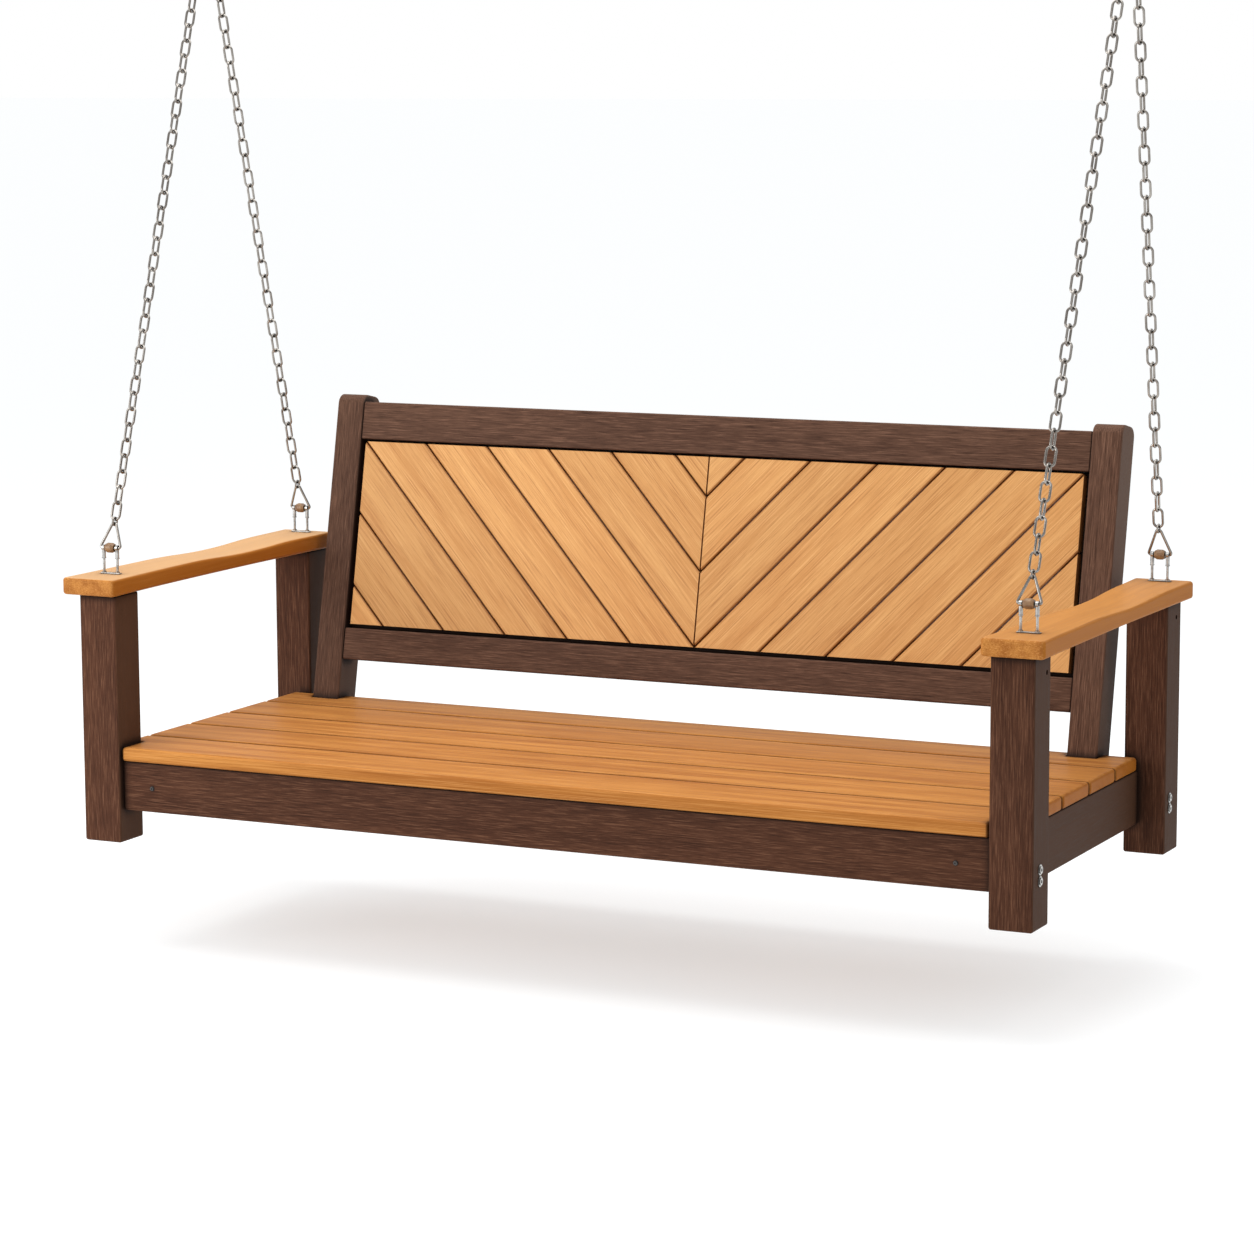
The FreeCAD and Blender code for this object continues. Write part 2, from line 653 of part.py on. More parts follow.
def arm(word, side):
    """An armrest, waisted in plan and scooped on top between its two hangers."""
    name = f"arm_{word}"
    body = DOC.addObject("PartDesign::Body", f"{name}_wood")
    length = "(Dims.arm_rear - Dims.arm_front)"

    def bow(sag):
        return f"{length} ^ 2 / 8 / {sag} + {sag} / 2"

    near, far = ("Dims.arm_inner", "Dims.arm_outer") if side > 0 else ("-Dims.arm_outer",
                                                                      "-Dims.arm_inner")
    corners = [(near, "Dims.arm_front"), (far, "Dims.arm_front"), (far, "Dims.arm_rear"),
               (near, "Dims.arm_rear")]
    inner_edge, outer_edge = (3, 1) if side > 0 else (1, 3)
    arcs = {inner_edge: (bow("Dims.arm_waist"), -1), outer_edge: (bow("Dims.arm_bow"), -1)}
    blank = pad(body, outline(body, "XY_Plane", corners, arcs), "Dims.arm_thickness")
    upright = ease(body, blank, "Dims.arm_corner", lambda edge: edge.BoundBox.XLength < 0.1
                   and edge.BoundBox.YLength < 0.1)
    quarter = "((Dims.scoop_end - Dims.scoop_start) / 4)"
    radius = f"({quarter} ^ 2 + Dims.scoop_depth ^ 2 / 4) / Dims.scoop_depth"
    top, half_way = "Dims.arm_thickness", "Dims.arm_thickness - Dims.scoop_depth / 2"
    above = "Dims.arm_thickness + Dims.scoop_depth"
    hollow = outline(
        body, "YZ_Plane",
        [("Dims.scoop_start", top), (f"Dims.scoop_start + {quarter}", half_way),
         (f"Dims.scoop_end - {quarter}", half_way), ("Dims.scoop_end", top),
         ("Dims.scoop_end", above), ("Dims.scoop_start", above)],
        {0: (radius, -1), 1: (radius, 1), 2: (radius, -1)})
    before = upright.Shape.Volume
    scoop = body.newObject("PartDesign::Pocket", "Scoop")
    scoop.Profile = hollow
    scoop.SideType = "Two sides"
    scoop.Type = "ThroughAll"
    scoop.Type2 = "ThroughAll"
    DOC.recompute()
    if scoop.Shape.Volume > before - 1000:
        raise RuntimeError("the scoop of an arm cuts nothing")
    ease(body, scoop, "Dims.arm_ease", lambda edge: edge.BoundBox.ZLength < dim("scoop_depth") + 1)
    place(body, "0", "0", "Dims.post_height")
    tools = []
    for y in HANGER_ROWS:
        for leg in (-1, 1):
            hole = cylinder(f"{name}_leg_hole", "Dims.leg_radius", "Dims.arm_thickness")
            place(hole, f"{side} * Dims.hanger_x + {leg} * Dims.leg_spread / 2", y,
                  "Dims.post_height")
            tools.append(hole)
    node(cut(name, body, tools), name)


# ---------------------------------------------------------------- chain hangers on the arms

def bar_centre(side, row):
    """Centre of a delta link's base bar, in bench coordinates."""
    height = value("Dims.post_height + Dims.arm_thickness + Dims.bar_height")
    return Vector(side * dim("hanger_x"), value(row), height)


def hanger_places(turned=False):
    """Placements at the four base bars; turned ones lean toward the ring."""
    for side in SIDES.values():
        for row in HANGER_ROWS:
            bar = bar_centre(side, row)
            if turned:
                to_ring = ring_centre(side) - bar
                lean = -math.degrees(math.atan2(to_ring.y, to_ring.z))
                yield to_model(*bar, FreeCAD.Rotation(Vector(1, 0, 0), lean))
            else:
                yield to_model(*bar)


def corner_names(first):
    """Names in the order in which hanger_places() gives its placements."""
    return [f"{first}_{end}_{word}" for word in SIDES for end in ("front", "rear")]


def ring_centre(side):
    """Centre of a top ring, in bench coordinates."""
    pivot = f"Dims.drop - Dims.bracket_plate - {PLATE_LOW}"
    return Vector(side * dim("bracket_x"), dim("pivot_y"), value(f"{pivot} - Dims.pivot_rise"))


def leg():
    """One leg of a hanger: a threaded rod with a foot collar, a sleeve and an eye for the bar."""
    sleeve_low = "(Dims.sleeve_drop + Dims.sleeve_length)"
    rod = local(cylinder("leg_rod", "Dims.leg_radius",
                         f"Dims.leg_reach + Dims.bar_height - {sleeve_low} / 2"),
                z="-Dims.bar_height - Dims.leg_reach")
    collar = local(cylinder("leg_collar", "Dims.collar_radius", "Dims.plate_height"),
                   z="-Dims.bar_height + Dims.plate_height")
    sleeve = local(cylinder("leg_sleeve", "Dims.sleeve_radius", "Dims.sleeve_length"),
                   z=f"-{sleeve_low}")
    lip = local(cylinder("leg_lip", "Dims.collar_radius", "Dims.lip_height"), z=f"-{sleeve_low}")
    eye = local(cylinder("leg_eye", "Dims.eye_radius", "Dims.eye_width", (1, 0, 0)),
                x="-Dims.eye_width / 2")
    bore = local(cylinder("leg_bore", "Dims.bar_radius + Dims.fit_gap",
                          "Dims.eye_width + 2 * Dims.overcut", (1, 0, 0)),
                 x="-Dims.eye_width / 2 - Dims.overcut")
    return cut("hanger_leg", fuse("leg_body", [rod, collar, sleeve, lip, eye]), [bore])


def hanger_plate():
    body = board("hanger_plate", ("Dims.plate_length", "Dims.plate_width", "Dims.plate_height"),
                 "Dims.plate_ease")
    local(body, "-Dims.plate_length / 2", "-Dims.plate_width / 2", "-Dims.bar_height")
    holes = [local(cylinder("plate_hole", "Dims.leg_radius", "Dims.plate_height"),
                   x=f"{leg_side} * Dims.leg_spread / 2", z="-Dims.bar_height")
             for leg_side in (-1, 1)]
    return cut("hanger_plate_drilled", body, holes)


def roller():
    """A short round roller on the bar, with chamfered rims."""
    length, radius = "Dims.roller_length", "Dims.roller_radius"
    middle = local(cylinder("roller_middle", radius, f"{length} / 2", (1, 0, 0)),
                   x=f"-{length} / 4")
    rims = []
    for end in (-1, 1):
        rim = set_sizes(DOC.addObject("Part::Cone", "roller_rim"), Radius1=radius,
                        Radius2=f"{radius} - Dims.roller_chamfer", Height=f"{length} / 4")
        rim.Placement = FreeCAD.Placement(
            Vector(), FreeCAD.Rotation(Vector(0, 0, 1), Vector(end, 0, 0)))
        rims.append(local(rim, x=f"{end} * {length} / 4"))
    bore = local(cylinder("roller_bore", "Dims.bar_radius + Dims.fit_gap",
                          f"{length} + 2 * Dims.overcut", (1, 0, 0)),
                 x=f"-{length} / 2 - Dims.overcut")
    return cut("roller", fuse("roller_body", [middle] + rims), [bore])


def rounded_loop(corners, radii):
    """Closed edges through corners in the XZ plane, each corner rounded by its own radius."""
    lines, bends = [], []
    for index, corner in enumerate(corners):
        before = (corners[index - 1] - corner).normalize()
        after = (corners[(index + 1) % len(corners)] - corner).normalize()
        half = before.getAngle(after) / 2
        reach = radii[index] / math.tan(half)
        inward = (before + after).normalize()
        centre = corner + inward * (radii[index] / math.sin(half))
        bends.append((corner + before * reach, centre - inward * radii[index],
                      corner + after * reach))
    for index, bend in enumerate(bends):
        following = bends[(index + 1) % len(bends)]
        lines.append(Part.makeLine(bend[2], following[0]))
        lines.append(Part.Arc(*following).toShape())
    return lines


TIP_HEIGHT = ("(Dims.delta_vertex - Dims.delta_tip"
              " * (1 / sin(atan(Dims.delta_half / Dims.delta_vertex)) - 1))")


def delta_link():
    """The triangular link: a base bar through the legs' eyes and the roller, and a tip above."""
    half, corner = dim("delta_half"), dim("delta_corner")
    vertices = [Vector(-half, 0, 0), Vector(half, 0, 0), Vector(0, 0, dim("delta_vertex"))]
    edges = rounded_loop(vertices, [corner, corner, dim("delta_tip")])
    shape = DOC.addObject("Part::Feature", "delta_link")
    shape.Shape = closed_wire(edges, dim("bar_radius"))
    return shape


def shackle():
    """The small round ring that joins a delta link's tip to the first chain link."""
    ring = set_sizes(DOC.addObject("Part::Torus", "shackle"), Radius1="Dims.shackle_radius",
                     Radius2="Dims.shackle_wire")
    ring.Placement = FreeCAD.Placement(
        Vector(), FreeCAD.Rotation(Vector(0, 0, 1), Vector(1, 0, 0)))
    return local(ring, z=f"{TIP_HEIGHT} - Dims.bar_radius - Dims.fit_gap"
                         " + Dims.shackle_radius - Dims.shackle_wire")


def dowel():
    """A steel dowel across the post that takes both legs of a hanger."""
    depth = "-Dims.bar_height - Dims.arm_thickness - Dims.dowel_depth"
    rod = local(cylinder("dowel_rod", "Dims.dowel_radius", "Dims.dowel_hole - Dims.dowel_inset",
                         (-1, 0, 0)),
                x="Dims.half_span + Dims.post_side - Dims.hanger_x - Dims.dowel_inset", z=depth)
    holes = [local(cylinder("leg_hole", "Dims.leg_radius",
                            "2 * (Dims.dowel_radius + Dims.overcut)"),
                   x=f"{leg_side} * Dims.leg_spread / 2",
                   z=f"{depth} - Dims.dowel_radius - Dims.overcut")
             for leg_side in (-1, 1)]
    return cut("dowel_drilled", rod, holes)


def hangers():
    legs, plate, drum, delta, ring, cross = (leg(), hanger_plate(), roller(), delta_link(),
                                             shackle(), dowel())
    DOC.recompute()
    upright = list(hanger_places())
    turned = list(hanger_places(turned=True))
    spread = [FreeCAD.Placement(Vector(leg_side * dim("leg_spread") / 2, 0, 0),
                                FreeCAD.Rotation()) for leg_side in (-1, 1)]
    copies("hanger_legs", legs, [spot.multiply(shift) for spot in upright for shift in spread])
    copies("hanger_plates", plate, upright)
    for name, placement in zip(corner_names("roller"), turned):
        copies(name, drum, [placement])
    copies("delta_links", delta, turned)
    copies("shackles", ring, turned)
    half_turn = FreeCAD.Placement(Vector(), FreeCAD.Rotation(Vector(0, 0, 1), 180))
    faced = [spot if spot.Base.x > 0 else spot.multiply(half_turn) for spot in upright]
    copies("cross_dowels", cross, faced)


# ---------------------------------------------------------------- bolts, nuts and screws

def headed(name, radius, length, rim, rim_height, head):
    """A fastener along +X: its shank from 0 to length, and behind 0 a washer and a socket head."""
    top = f"({rim_height} + Dims.bolt_head_height)"
    shank = cylinder(f"{name}_shank", radius, length, (1, 0, 0))
    flange = local(cylinder(f"{name}_washer", rim, rim_height, (1, 0, 0)), x=f"-{rim_height}")
    cap = local(cylinder(f"{name}_head", head, "Dims.bolt_head_height", (1, 0, 0)), x=f"-{top}")
    socket = set_sizes(DOC.addObject("Part::Prism", f"{name}_socket"), Circumradius=f"{head} / 2",
                       Height="Dims.socket_depth + Dims.overcut")
    socket.Placement = FreeCAD.Placement(
        Vector(), FreeCAD.Rotation(Vector(0, 0, 1), Vector(1, 0, 0)))
    local(socket, x=f"-{top} - Dims.overcut")
    return cut(name, fuse(f"{name}_body", [shank, flange, cap]), [socket])


def fasteners():
    bolt = headed("bolt", "Dims.bolt_radius", "Dims.bolt_length", "Dims.washer_radius",
                  "Dims.washer_height", "Dims.bolt_head_radius")
    screw = headed("screw", "Dims.screw_radius", "Dims.screw_length", "Dims.screw_rim_radius",
                   "Dims.screw_rim_height", "Dims.screw_head_radius")
    lag = headed("lag", "Dims.screw_radius", "Dims.post_side + Dims.screw_length",
                 "Dims.washer_radius", "Dims.washer_height", "Dims.bolt_head_radius")
    rod = cylinder("nut_rod", "Dims.nut_radius", "Dims.nut_length", (0, -1, 0))
    hole = local(cylinder("nut_hole", "Dims.bolt_radius",
                          "2 * (Dims.nut_radius + Dims.overcut)", (1, 0, 0)),
                 x="-Dims.nut_radius - Dims.overcut",
                 y="-Dims.board_thickness / 2")
    nut = cut("barrel_nut", rod, [hole])
    DOC.recompute()
    bolts, nuts, screws, lags = [], [], [], []
    to_right = FreeCAD.Rotation()
    to_left = FreeCAD.Rotation(Vector(0, 0, 1), 180)
    for side in SIDES.values():
        inward = to_left if side > 0 else to_right
        outer = side * value("Dims.half_span + Dims.post_side")
        nut_x = side * value("Dims.half_span - Dims.nut_inset")
        for height in (dim("bolt_low"), dim("bolt_high")):
            bolts.append(to_model(outer, value(FRONT_BOLT_Y), height, inward))
            bolts.append(to_model(outer, value(REAR_BOLT_Y), height, inward))
            nuts.append(to_model(nut_x, value("Dims.front_apron_y + Dims.board_thickness"),
                                 height, to_right))
            nuts.append(to_model(nut_x, dim("rear_apron_y"), height, to_left))
        screws.append(to_model(side * dim("screw_x"), dim("front_apron_y"), dim("screw_z"),
                               FreeCAD.Rotation(Vector(0, 0, 1), 90)))
        lags.append(to_model(side * dim("lag_x"), value("Dims.rear_post_y + Dims.post_side"),
                             dim("lag_z"), FreeCAD.Rotation(Vector(0, 0, 1), -90)))
    copies("post_bolts", bolt, bolts)
    copies("barrel_nuts", nut, nuts)
    group("frame_screws", placed(screw, screws) + placed(lag, lags))


# ---------------------------------------------------------------- chains

def chain_link():
    """One straight link, long along Z and wide along X."""
    wire, inner = dim("link_wire"), dim("link_inner")
    bend = dim("link_width") / 2 - wire
    half = inner / 2 + wire - bend
    lower_right, upper_right = Vector(bend, 0, -half), Vector(bend, 0, half)
    upper_left, lower_left = Vector(-bend, 0, half), Vector(-bend, 0, -half)
    edges = [
        Part.makeLine(lower_right, upper_right),
        Part.Arc(upper_right, Vector(0, 0, half + bend), upper_left).toShape(),
        Part.makeLine(upper_left, lower_left),
        Part.Arc(lower_left, Vector(0, 0, -half - bend), lower_right).toShape(),
    ]
    return closed_wire(edges, wire)


def chain(name, side, row, count):
    """A run of links from a delta link's shackle to the top ring, each turned a quarter."""
    wire, inner = dim("link_wire"), dim("link_inner")
    bar = bar_centre(side, row)
    ring = ring_centre(side)
    tip = Vector(0, ring.y - bar.y, ring.z - bar.z).normalize()
    shackle_top = (value(TIP_HEIGHT) - dim("bar_radius") - dim("fit_gap")
                   + 2 * (dim("shackle_radius") - dim("shackle_wire")))
    start = bar + tip * (shackle_top - dim("fit_gap") - wire)
    along = ring - start
    heading = Vector(along).normalize()
    stop = along.Length - (dim("ring_radius") - dim("ring_wire") - wire - dim("fit_gap"))
    half = inner / 2 + wire
    pitch = (stop - 2 * half) / (count - 1)
    slack = inner - pitch
    print(f"{name}: {count} links, pitch {pitch:.2f}, slack {slack:.2f}")
    if not 0.02 < slack < 0.6:
        raise RuntimeError(f"{name}: the links don't meet")
    lean = FreeCAD.Rotation(Vector(0, 0, 1), heading)
    pattern = chain_link()
    links = []
    for index in range(count):
        turn = lean.multiply(FreeCAD.Rotation(Vector(0, 0, 1), 90 * (index % 2)))
        link = pattern.copy()
        link.Placement = to_model(*(start + heading * (half + index * pitch)), turn)
        links.append(link)
    group(name, links)


def chains():
    for word, side in SIDES.items():
        for end, row in zip(("front", "rear"), HANGER_ROWS):
            chain(f"chain_{end}_{word}", side, row, int(dim(f"{end}_links")))


# ---------------------------------------------------------------- rings, eyes, pins and brackets

def top_ring():
    """The round ring, in the plane of the swing, that gathers a front and a rear chain."""
    ring = set_sizes(DOC.addObject("Part::Torus", "top_ring"), Radius1="Dims.ring_radius",
                     Radius2="Dims.ring_wire")
    ring.Placement = FreeCAD.Placement(
        Vector(), FreeCAD.Rotation(Vector(0, 0, 1), Vector(1, 0, 0)))
    return local(ring, z="-Dims.pivot_rise")


def pivot_eye():
    """A barrel that turns on the pin, with an eye below it that the ring hangs in."""
    barrel = local(cylinder("eye_barrel", "Dims.barrel_radius", "2 * Dims.barrel_half", (1, 0, 0)),
                   x="-Dims.barrel_half")
    loop = set_sizes(DOC.addObject("Part::Torus", "eye_loop"), Radius1="Dims.eye_loop",
                     Radius2="Dims.ring_wire")
    loop.Placement = FreeCAD.Placement(
        Vector(), FreeCAD.Rotation(Vector(0, 0, 1), Vector(0, 1, 0)))
    local(loop, z="Dims.eye_rise - Dims.pivot_rise")
    neck_low = "Dims.eye_rise - Dims.pivot_rise + Dims.eye_loop"
    neck = local(cylinder("eye_neck", "1.5 * Dims.ring_wire", f"-({neck_low}) - Dims.pin_radius"),
                 z=neck_low)
    bore = local(cylinder("eye_bore", "Dims.pin_radius + Dims.pin_fit",
                          "2 * (Dims.barrel_half + Dims.overcut)", (1, 0, 0)),
                 x="-Dims.barrel_half - Dims.overcut")
    return cut("pivot_eye", fuse("eye_body", [barrel, loop, neck]), [bore])


EAR_INNER = "(Dims.barrel_half + Dims.ear_gap)"
EAR_OUTER = "(Dims.barrel_half + Dims.ear_gap + Dims.ear_thickness)"


def pivot_pin():
    """A pin with a flat head at each end."""
    rod = local(cylinder("pin_rod", "Dims.pin_radius", f"2 * {EAR_OUTER}", (1, 0, 0)),
                x=f"-{EAR_OUTER}")
    heads = [local(cylinder("pin_head", "Dims.pin_head", "Dims.pin_head_height", (end, 0, 0)),
                   x=f"{end} * {EAR_OUTER}") for end in (-1, 1)]
    return fuse("pivot_pin", [rod] + heads)


def bracket():
    """A ceiling plate with two bolt holes and two ears that hold the pin."""
    plate = board("bracket_plate", ("Dims.bracket_width", "Dims.bracket_length",
                                    "Dims.bracket_plate"), "Dims.bracket_ease")
    local(plate, "-Dims.bracket_width / 2", "-Dims.bracket_length / 2", PLATE_LOW)
    parts = [plate]
    for end in (-1, 1):
        body = DOC.addObject("PartDesign::Body", "bracket_ear")
        top = f"{PLATE_LOW} + Dims.bracket_plate / 2"
        sketch = outline(body, "YZ_Plane",
                         [("-Dims.ear_radius", "0"), ("Dims.ear_radius", "0"),
                          ("Dims.ear_radius + Dims.ear_flare", top),
                          ("-Dims.ear_radius - Dims.ear_flare", top)],
                         {0: ("Dims.ear_round", 1)})
        pad(body, sketch, "Dims.ear_thickness")
        local(body, outer_x(end, EAR_INNER, "Dims.ear_thickness"))
        parts.append(body)
    tools = [local(cylinder("ear_bore", "Dims.pin_radius + Dims.pin_fit",
                            f"2 * ({EAR_OUTER} + Dims.overcut)", (1, 0, 0)),
                   x=f"-{EAR_OUTER} - Dims.overcut")]
    for end in (-1, 1):
        tools.append(local(cylinder("ceiling_hole", "Dims.bracket_hole",
                                    "Dims.bracket_plate + 2 * Dims.overcut"),
                           y=f"{end} * Dims.bracket_holes / 2", z=f"{PLATE_LOW} - Dims.overcut"))
    return cut("bracket", fuse("bracket_body", parts), tools)


def overhead():
    ring, eye, pin, holder = top_ring(), pivot_eye(), pivot_pin(), bracket()
    DOC.recompute()
    pivots = [to_model(*(ring_centre(side) + Vector(0, 0, dim("pivot_rise"))))
              for side in SIDES.values()]
    copies("top_rings", ring, pivots)
    copies("pivot_eyes", eye, pivots)
    copies("pivot_pins", pin, pivots)
    copies("ceiling_brackets", holder, pivots)


# ---------------------------------------------------------------- build, check and write

def check():
    """Stop if any object failed or any sub-part isn't whole."""
    DOC.recompute()
    for obj in DOC.Objects:
        if "Invalid" in obj.State or "Error" in obj.State:
            raise RuntimeError(f"{obj.Label} failed: {obj.State}")
    for obj in NODES:
        if obj.Shape.isNull() or not obj.Shape.isValid() or not obj.Shape.Solids:
            raise RuntimeError(f"{obj.Label} has no valid shape")


def write():
    os.makedirs("parts", exist_ok=True)
    for obj in NODES:
        obj.Shape.exportStep(f"parts/{obj.Label}.step")
    print(len(NODES), "sub-parts written")


fill_sheet()
posts()
cross_apron("front_apron", "Dims.front_apron_y", 1)
cross_apron("rear_apron", "Dims.rear_apron_y", -1)
for side_word, side_sign in SIDES.items():
    side_apron(side_word, side_sign)
    arm(side_word, side_sign)
joist()
corner_blocks()
seat()
back_frame()
back_cleats()
chevron_panel()
hangers()
fasteners()
chains()
overhead()
check()
write()
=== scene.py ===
"""Looks of the porch swing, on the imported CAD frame: camera, studio, and one material for every node."""

import math
import random

import bpy
from mathutils import Matrix, Vector


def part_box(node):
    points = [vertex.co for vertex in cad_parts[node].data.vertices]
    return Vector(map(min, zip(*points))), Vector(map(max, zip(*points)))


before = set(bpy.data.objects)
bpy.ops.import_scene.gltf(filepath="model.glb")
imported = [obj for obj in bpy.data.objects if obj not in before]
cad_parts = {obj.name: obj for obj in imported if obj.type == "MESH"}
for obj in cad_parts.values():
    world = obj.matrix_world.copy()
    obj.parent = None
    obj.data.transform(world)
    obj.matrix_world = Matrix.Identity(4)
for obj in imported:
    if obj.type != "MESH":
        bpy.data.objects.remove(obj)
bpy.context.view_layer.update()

# Camera: its place is measured from the lowest outer front corner of the right front post, in metres
CAMERA_FROM_FOOT = Vector((1.904, -5.298, 1.295))
CAMERA_YAW = math.radians(25.846)
CAMERA_PITCH = math.radians(-8.470)
CAMERA_ROLL = math.radians(-0.249)
CAMERA_LENS = 111.37
CAMERA_SENSOR = 36.0
CAMERA_REACH = 200.0

# Studio
FLOOR_DROP = 0.18
FLOOR_SIDE = 200.0
FLOOR_COLOUR = (0.525, 0.540, 0.548)
FLOOR_GLOW = 0.52
WORLD_BANDS = ((0.0, 1.0), (0.04, 1.0), (0.10, 0.50), (0.42, 0.55), (0.62, 1.0), (1.0, 1.0))
KEY_POWER = 90.0
KEY_SIDE = 3.4
KEY_FROM_BENCH = Vector((-0.3, 0.1, 3.2))
FILL_POWER = 80.0
FILL_SIDE = 2.2
FILL_FROM_BENCH = Vector((-2.7, -3.1, 1.4))

# Directions of the grain, in the frame of the model
BACK_LEAN = math.radians(11.6)
CHEVRON_ANGLE = math.radians(46.67)
ACROSS = Vector((1.0, 0.0, 0.0))
DEEP = Vector((0.0, 1.0, 0.0))
UP = Vector((0.0, 0.0, 1.0))
UP_THE_BACK = Vector((0.0, math.sin(BACK_LEAN), math.cos(BACK_LEAN)))
FALLING = ACROSS * math.cos(CHEVRON_ANGLE) - UP_THE_BACK * math.sin(CHEVRON_ANGLE)
RISING = ACROSS * math.cos(CHEVRON_ANGLE) + UP_THE_BACK * math.sin(CHEVRON_ANGLE)

# Lumber. Colours are linear. Sizes of the patterns are in metres, along the grain and across it, with a
# third one where the grain is finer upright. gloss is the roughness where the pattern is low and high, and
# the span of the gaps is how open a place is where the painted shade in the gaps begins and where it is
# full.
# The side colour is painted shade on the faces that look along the bench, and end grain where the grain
# runs across them. The top colour is a painted sheen. The edge colour is a painted highlight, and painted
# shade on the panel. The gap colour is painted shade.
DARK_LUMBER = {
    "body": (0.078, 0.0305, 0.0162),
    "deep": (0.059, 0.0225, 0.0120),
    "streak_light": (0.190, 0.088, 0.050),
    "streak_dark": (0.020, 0.008, 0.0046),
    "edge": (0.160, 0.082, 0.053),
    "side": (0.060, 0.0288, 0.0160),
    "top": (0.110, 0.052, 0.032),
    "gap": (0.014, 0.007, 0.005),
    "streak_size": (0.040, 0.0014),
    "tone_size": (0.50, 0.030),
    "fibre_size": (0.014, 0.0007),
    "light_share": 0.58,
    "dark_share": 0.68,
    "side_share": 0.82,
    "top_share": 0.30,
    "spread": 0.06,
    "relief": 0.00022,
    "gap_span": (0.93, 0.64),
    "gloss": (0.48, 0.66),
    "specular": 0.06,
}
# The back: the dark lumber made lighter and greyer, a painted sheen from the light above
SHEEN_LIT_BACK_LUMBER = {
    **DARK_LUMBER,
    "body": (0.096, 0.0480, 0.0305),
    "deep": (0.076, 0.0370, 0.0235),
    "streak_light": (0.210, 0.112, 0.073),
    "side": (0.100, 0.062, 0.045),
}
AMBER_LUMBER = {
    "body": (0.480, 0.198, 0.046),
    "deep": (0.330, 0.116, 0.024),
    "streak_light": (0.640, 0.310, 0.100),
    "streak_dark": (0.210, 0.066, 0.012),
    "edge": (0.600, 0.290, 0.100),
    "side": (0.310, 0.096, 0.009),
    "top": (0.470, 0.225, 0.080),
    "gap": (0.055, 0.018, 0.005),
    "streak_size": (0.140, 0.0030, 0.0012),
    "tone_size": (0.70, 0.020),
    "fibre_size": (0.030, 0.0008),
    "light_share": 0.62,
    "dark_share": 0.66,
    "side_share": 0.80,
    "top_share": 0.12,
    "spread": 0.06,
    "relief": 0.00010,
    "gap_span": (0.97, 0.70),
    "gloss": (0.34, 0.48),
    "specular": 0.04,
}
# The left arm: a strong painted sheen on its top
LEFT_ARM_LUMBER = {**AMBER_LUMBER, "top": (0.610, 0.375, 0.185), "top_share": 0.72}
# The right arm: its own painted shade on the sides and painted sheen on the top
RIGHT_ARM_LUMBER = {
    **AMBER_LUMBER,
    "side": (0.370, 0.130, 0.018),
    "top": (0.540, 0.250, 0.078),
    "top_share": 0.60,
    "specular": 0.03,
}
PANEL_LUMBER = {
    "body": (0.610, 0.315, 0.108),
    "deep": (0.525, 0.248, 0.076),
    "streak_light": (0.730, 0.425, 0.175),
    "streak_dark": (0.330, 0.126, 0.032),
    "edge": (0.520, 0.245, 0.078),
    "side": (0.400, 0.170, 0.048),
    "top": (0.600, 0.300, 0.100),
    "gap": (0.270, 0.100, 0.028),
    "streak_size": (0.090, 0.0015),
    "tone_size": (0.60, 0.030),
    "fibre_size": (0.022, 0.0006),
    "light_share": 0.58,
    "dark_share": 0.68,
    "side_share": 0.60,
    "top_share": 0.0,
    "spread": 0.06,
    "relief": 0.00014,
    "gap_span": (0.93, 0.64),
    "gloss": (0.42, 0.56),
    "specular": 0.20,
}

# Shares by which these pieces are lighter or darker than the others of their kind
TONE_SHIFTS = {
    "chevron_left_7": -0.16,
    "chevron_left_8": -0.10,
    "chevron_right_5": -0.04,
    # Painted light: the left front post and the right back stile are lifted where more light falls on them
    "front_post_left": 0.16,
    "back_stile_right": 0.14,
}

# Metal and plastic parts
CHAIN_STEEL = {
    "light": (0.38, 0.355, 0.325),
    "dark": (0.22, 0.200, 0.180),
    "patch_size": 0.030,
    "scratch_size": 0.0016,
    "relief": 0.000005,
    "gloss": (0.24, 0.14),
    "metallic": 1.0,
}
BOLT_STEEL = {
    "light": (0.52, 0.51, 0.49),
    "dark": (0.33, 0.32, 0.305),
    "patch_size": 0.008,
    "scratch_size": 0.0008,
    "relief": 0.000015,
    "gloss": (0.36, 0.24),
    "metallic": 1.0,
}
ROLLER_PLASTIC = {
    "light": (0.27, 0.150, 0.064),
    "dark": (0.16, 0.080, 0.034),
    "patch_size": 0.006,
    "scratch_size": 0.0008,
    "relief": 0.00002,
    "gloss": (0.48, 0.34),
    "metallic": 0.0,
}
BRACKET_STEEL = {
    "light": (0.060, 0.052, 0.048),
    "dark": (0.036, 0.032, 0.030),
    "patch_size": 0.012,
    "scratch_size": 0.0010,
    "relief": 0.00004,
    "gloss": (0.58, 0.42),
    "metallic": 0.2,
}

# Masks: each span is the pair of values between which a mask goes from nothing to full
EDGE_WIDTH = 0.0022
EDGE_SPAN = (0.995, 0.90)
EDGE_SAMPLES = 4
GAP_REACH = 0.018                # how far a narrow gap paints shade on the lumber beside it
CONTACT_REACH = 0.004            # and how far a touching part paints shade on the metal
CONTACT_SPAN = (0.80, 0.45)
# Painted shade at the contacts: the metal's dark colour, darker by this share
CONTACT_SHADE_SHIFT = -0.90
# The most painted shade that a gap or a contact takes
GAP_SHADE_SHARE = 0.94
GAP_SAMPLES = 8
# Which faces take the side colour (painted shade, and end grain where the grain runs across) and the top
# colour (painted sheen)
SIDE_SPAN = (0.55, 0.85)
TOP_SPAN = (0.80, 0.97)

